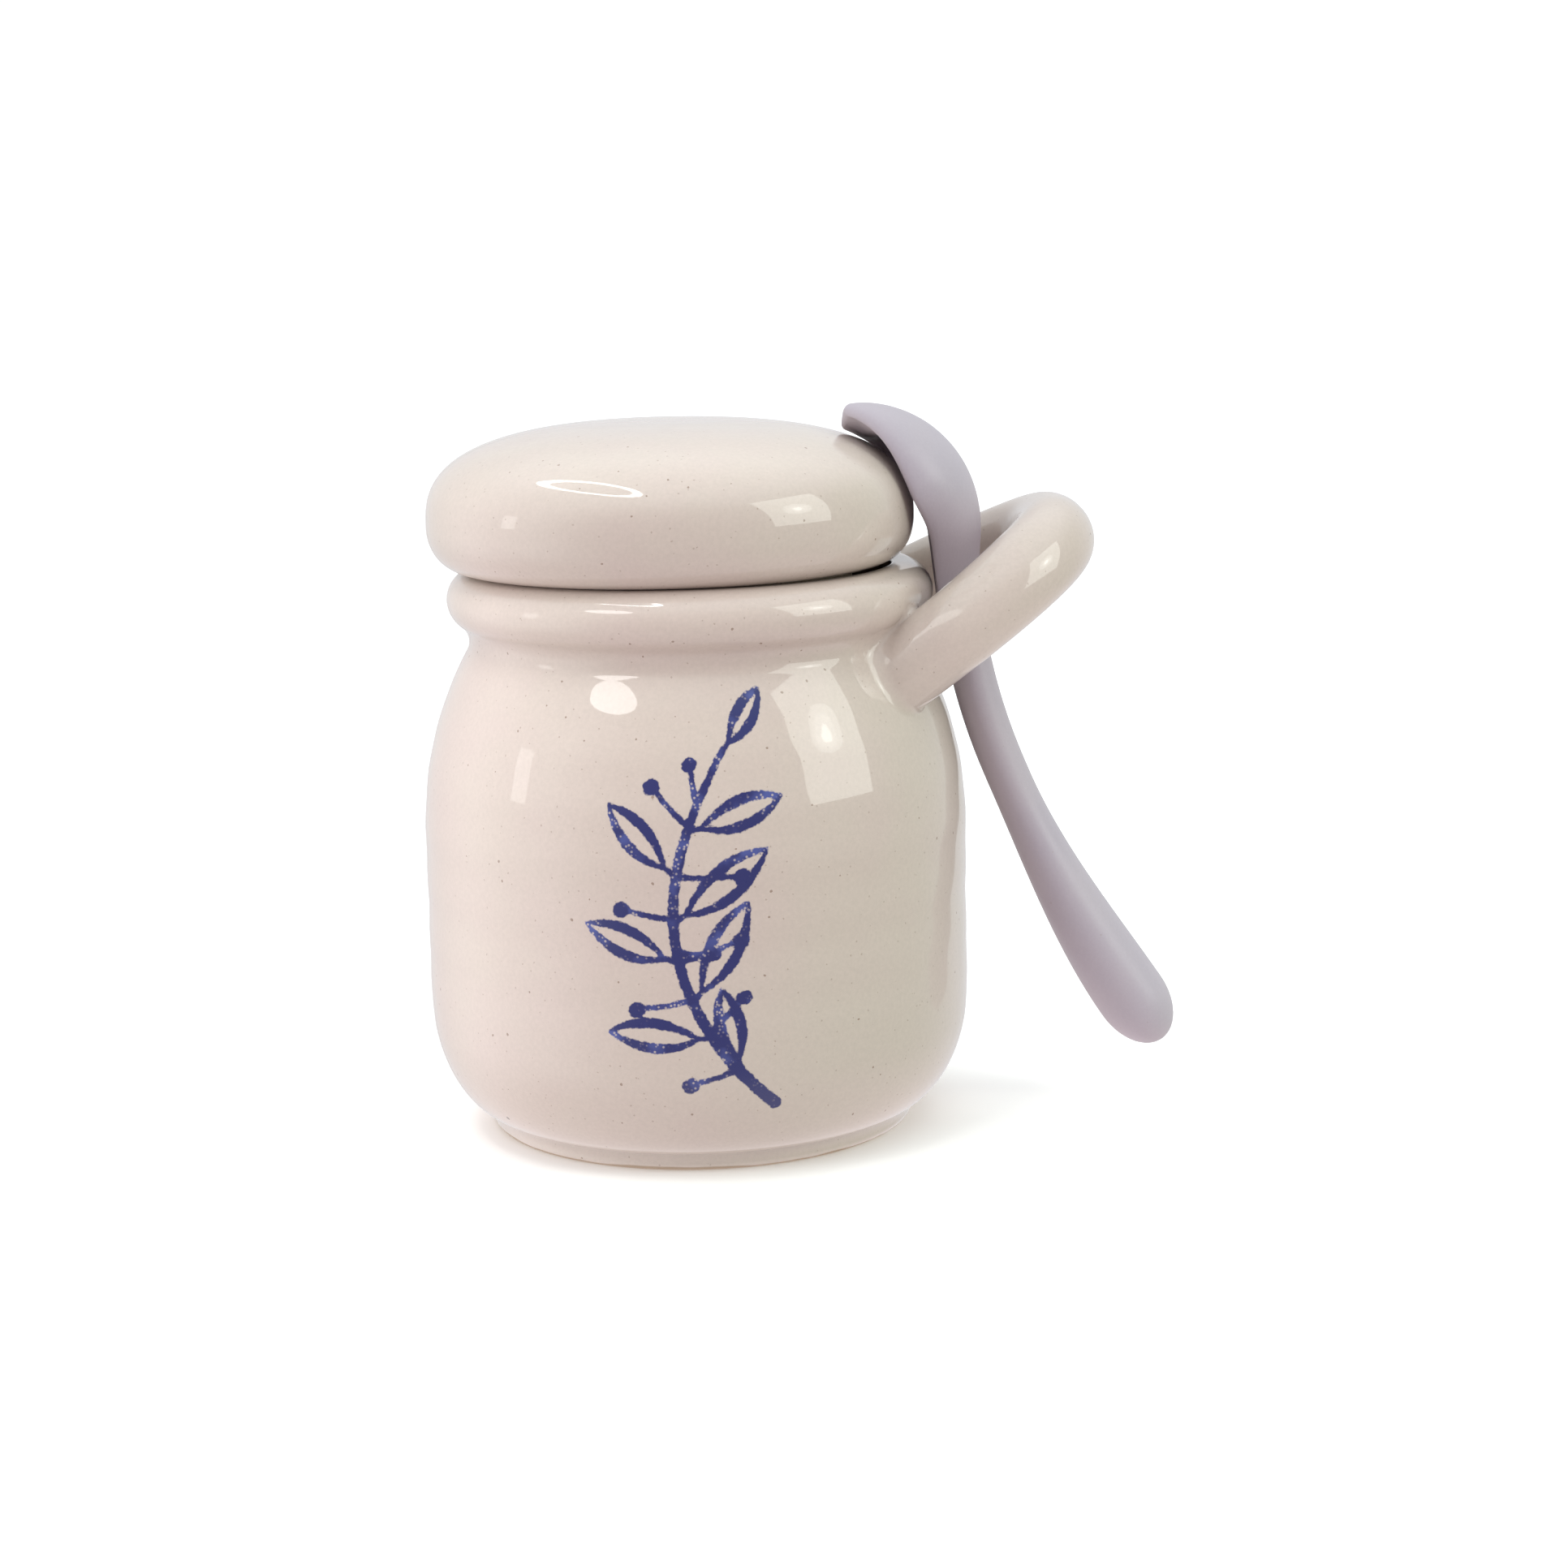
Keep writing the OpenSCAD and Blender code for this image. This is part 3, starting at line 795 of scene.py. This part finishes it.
def lip_drop(s, across):
    """How much lower the lip hangs at the length s; across runs from -1 at the near lip to 1 at the far one."""
    near = near_drop * swell(s, near_drop_at, near_drop_l[0] if s < near_drop_at else near_drop_l[1])
    far = far_drop + far_tip_drop * math.exp(-s / far_tip_l)
    far += far_belly_drop * swell(s, far_belly_at, far_belly_l)
    far *= 1 - eased((s - far_end) / far_end_l)
    return near + (far - near) * eased((across + 1) / 2)


def spoon_ring(s):
    """One section: over the back from lip to lip, round the lip, across the hollow and round the other lip."""
    t, w = spoon_size(s)
    hollowed = eased((s - 4) / 10) * (1 - eased((s - bowl_hollow_l) / (bowl_l - bowl_hollow_l)))
    flat = 1 - eased((s - bowl_l) / neck_round_l)
    edge = -t / 2 * flat
    lip = min(bowl_wall * 0.3, t * 0.3, w * 0.4) * flat
    inner = w - min(bowl_wall, w * 0.45) * max(hollowed, 0.35)
    floor_at = -t / 2 + (t - min(bowl_wall, t)) * hollowed
    side = edge + lip
    inside_lip = edge + lip * hollowed
    section = []
    for i in range(back_steps):
        a = math.pi * i / back_steps
        section.append((w * math.cos(a), side + (t / 2 - side) * math.sin(a)))
    lip_line = []
    for i in range(lip_steps + 1):
        a = math.pi * i / lip_steps
        foot = side if 2 * i <= lip_steps else inside_lip
        across = (w + inner) / 2 + (w - inner) / 2 * math.cos(a)
        lip_line.append((across, edge + (foot - edge) * (1 - math.sin(a))))
    section += [(-p, q) for p, q in lip_line[:-1]]
    for i in range(front_steps):
        a = math.pi * i / front_steps
        section.append((-inner * math.cos(a), inside_lip + (floor_at - inside_lip) * math.sin(a)))
    section += lip_line[::-1]
    u = 1 - flat
    if u > 0:
        whole = len(section) - 1
        half = [math.pi * i / back_steps for i in range(back_steps)]
        half += [math.pi + math.pi * i / (whole - back_steps) for i in range(whole - back_steps + 1)]
        oval = [(w * math.cos(a), t / 2 * math.sin(a)) for a in half]
        section = [(p + (po - p) * u, q + (qo - q) * u) for (p, q), (po, qo) in zip(section, oval)]
    section = [(p, q - lip_drop(s, p / w) * min(1.0, max(0.0, -2 * q / t))) for p, q in section]
    roll = tip_turn * (1 - eased(s / tip_turn_l))
    c, d = math.cos(roll), math.sin(roll)
    section = [(p * c + q * d, q * c - p * d) for p, q in section]
    middle, way = spoon_line(s)
    return [(middle[0] + q * way[0], p, middle[1] + q * way[1]) for p, q in section]


nose_steps = 5
spoon_steps = 170
end_steps = 14
stations = [0.012 * tip_nose]
stations += [tip_nose * (1 - math.cos(math.pi / 2 * i / nose_steps)) for i in range(1, nose_steps + 1)]
stations += list(np.linspace(tip_nose, end_start, spoon_steps)[1:])
stations += [end_start + end_round_l * math.sin(math.pi / 2 * i / end_steps) for i in range(1, end_steps)]
spoon_rows = [spoon_ring(s) for s in stations]


def pole(s):
    """A row with all its points on the middle line, which closes the spoon there."""
    middle, way = spoon_line(s)
    return [(middle[0], 0.0, middle[1])] * len(spoon_rows[0])


spoon = shaped("spoon", [pole(0.0)] + spoon_rows + [pole(spoon_l)])

mauve, tree, shader = finish_named("mauve_porcelain")
where = add(tree, "TexCoord").outputs["Object"]
clouds = add(tree, "TexNoise", Vector=where, Scale=45.0, Detail=3.0).outputs[0]
grain = add(tree, "TexNoise", Vector=where, Scale=1800.0, Detail=2.0, Roughness=0.7).outputs[0]
dots = specks(tree, where, 260.0, 0.035, 0.4, 3.3)
body = mixed(tree, between(tree, clouds, 0.3, 0.7), mauve_dark, mauve_light)
body = mixed(tree, between(tree, grain, 0.3, 0.8, 0.0, 0.10), body, mauve_dust)
body = mixed(tree, sums(tree, "MULTIPLY", dots, 0.25), body, iron_brown)
tree.links.new(body, shader.inputs["Base Color"])
tree.links.new(between(tree, clouds, 0.3, 0.7, 0.40, 0.50), shader.inputs["Roughness"])
dry = add(tree, "Bump", Strength=0.12, Distance=0.2 * MM, Height=grain).outputs[0]
tree.links.new(dry, shader.inputs["Normal"])
shader.inputs["Specular IOR Level"].default_value = 0.4
spoon.data.materials.append(mauve)
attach(spoon, "spoon")
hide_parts("spoon")

# Studio
# A pale table top that runs on out of sight, under the soft light of a bright room.
bpy.ops.object.select_all(action="DESELECT")
bpy.ops.mesh.primitive_plane_add(size=8)
table = bpy.context.object
table.name = "table_top"
pale, tree, shader = finish_named("pale_table")
where = add(tree, "TexCoord").outputs["Object"]
faint = add(tree, "TexNoise", Vector=where, Scale=3.0, Detail=2.0).outputs[0]
top = mixed(tree, faint, (0.93, 0.925, 0.92, 1), (0.95, 0.945, 0.94, 1))
tree.links.new(top, shader.inputs["Base Color"])
shader.inputs["Roughness"].default_value = 0.8
table.data.materials.append(pale)
table.visible_diffuse = False
table.visible_glossy = False
table.visible_shadow = False
table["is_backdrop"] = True

# Room
# Bright and cool on the left, dimmer and a little green on the right,
# and white where the camera looks past the pot.
left_light = (2.02, 2.03, 2.03, 1)
right_light = (0.40, 0.52, 0.42, 1)
front_light = (0.57, 0.49, 0.52, 1)
back_light = (0.88, 0.88, 0.90, 1)
top_light = (1.44, 1.55, 1.59, 1)
under_light = (1.25, 1.14, 1.14, 1)
white = (1.15, 1.15, 1.15, 1)
room = bpy.data.worlds.new("room")
bpy.context.scene.world = room
room.use_nodes = True
tree = room.node_tree
tree.nodes.clear()
way = add(tree, "SeparateXYZ", _0=add(tree, "TexCoord").outputs["Generated"])
light = mixed(tree, between(tree, way.outputs[0], -0.90, 0.70), left_light, right_light)
light = mixed(tree, between(tree, way.outputs[1], -1.0, -0.35), front_light, light)
light = mixed(tree, between(tree, way.outputs[1], 0.1, 0.8), light, back_light)
light = mixed(tree, between(tree, way.outputs[2], 0.45, 0.92), light, top_light)
light = mixed(tree, between(tree, way.outputs[2], -0.75, -0.25), under_light, light)
looked_at = add(tree, "LightPath").outputs["Is Camera Ray"]
glow = add(tree, "Background", Color=mixed(tree, looked_at, light, white), Strength=0.9)
add(tree, "OutputWorld", Surface=glow.outputs[0])

# Lamps
# A ring lamp overhead, an umbrella at the front left, a soft box with its bulb on the right,
# a small window on the left, one lamp for the loop and one for the table behind the pot.
aim = Vector((0.0, -0.02, 0.08))
soft_box_way = (0.84, -0.37, 0.40)
umbrella_way = (-0.527, -0.574, 0.627)


def lamp(name, way, distance, size, watts, colour, shape="RECTANGLE"):
    """A soft lamp that stands that far off along way and faces the pot."""
    way = Vector(way).normalized()
    data = bpy.data.lights.new(name, "AREA")
    data.shape = shape
    data.size, data.size_y = size
    data.energy = watts
    data.color = colour
    made = bpy.data.objects.new(name, data)
    turned = way.to_track_quat("Z", "Y").to_matrix().to_4x4()
    made.matrix_world = Matrix.Translation(aim + way * distance) @ turned
    bpy.context.scene.collection.objects.link(made)
    return made


def shine_on(source, *pieces):
    """Lets the lamp light these pieces alone."""
    lit = bpy.data.collections.new("lit_by_" + source.name)
    for piece in pieces:
        lit.objects.link(piece)
    source.light_linking.receiver_collection = lit


lamp("soft_box", soft_box_way, 1.0, (0.58, 0.70), 4.0, (0.95, 1.0, 0.93))
for wide, watts in ((0.08, 0.10), (0.16, 0.18), (0.26, 0.30)):
    name = "soft_box_bulb_%d" % (wide * 100)
    lamp(name, soft_box_way, 0.99, (wide, wide), watts, (0.97, 1.0, 0.96), "DISK")
umbrella = lamp("umbrella", umbrella_way, 1.0, (0.38, 0.20), 1.25, (1.0, 0.98, 0.96), "ELLIPSE")
shine_on(umbrella, pot, table)
loop_lamp = lamp("loop_lamp", umbrella_way, 1.0, (0.90, 0.30), 1.3, (0.97, 1.0, 0.95), "ELLIPSE")
shine_on(loop_lamp, loop)
lamp("window", (-0.965, -0.2, 0.17), 1.0, (0.14, 0.24), 0.22, (1.0, 0.99, 0.95))

table_lamp = lamp("table_lamp", (0.0, 0.0, 1.0), 1.6, (5.0, 4.0), 45.0, (1.0, 1.0, 1.0))
table_lamp.location.y = 2.2
shine_on(table_lamp, table)

ring_way = Vector((-0.357, -0.049, 0.933))
ring_aim = Vector((-0.013, -0.036, 0.109))
ring_off = 0.8
ring_turn = math.radians(18)
bpy.ops.object.select_all(action="DESELECT")
bpy.ops.mesh.primitive_torus_add(major_radius=0.31, minor_radius=0.04, major_segments=64, minor_segments=12)
ring = bpy.context.object
ring.name = "ring_lamp"
bpy.ops.object.mode_set(mode="EDIT")
bpy.ops.transform.resize(value=(1.0, 0.33, 1.0))
bpy.ops.object.mode_set(mode="OBJECT")
ring.matrix_world = (
    Matrix.Translation(ring_aim + ring_way * ring_off)
    @ ring_way.to_track_quat("Z", "Y").to_matrix().to_4x4()
    @ Matrix.Rotation(ring_turn, 4, "Z")
)
bpy.ops.object.transform_apply(location=True, rotation=True, scale=True)
tube, tree, shader = finish_named("ring_lamp_glow")
shader.inputs["Emission Color"].default_value = (1.0, 0.99, 0.97, 1)
shader.inputs["Emission Strength"].default_value = 13.0
ring.data.materials.append(tube)
ring.visible_camera = False
shine_on(ring, pot, lid, table)
ring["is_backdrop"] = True

# Camera
# A little above the lid, looking down on it and tilted by about a degree, as a hand-held picture is.
camera_at = (0.0148, -0.5283, 0.1561)
camera_down = math.radians(10.77)
camera_tilt = math.radians(-1.16)
lens = bpy.data.cameras.new("camera")
lens.sensor_width = 36.0
lens.lens = 74.26
camera = bpy.data.objects.new("camera", lens)
camera.matrix_world = (
    Matrix.Translation(camera_at)
    @ Matrix.Rotation(math.radians(90) - camera_down, 4, "X")
    @ Matrix.Rotation(camera_tilt, 4, "Z")
)
bpy.context.scene.collection.objects.link(camera)
bpy.context.scene.camera = camera
bpy.context.scene.view_settings.view_transform = "Standard"

low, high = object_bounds()
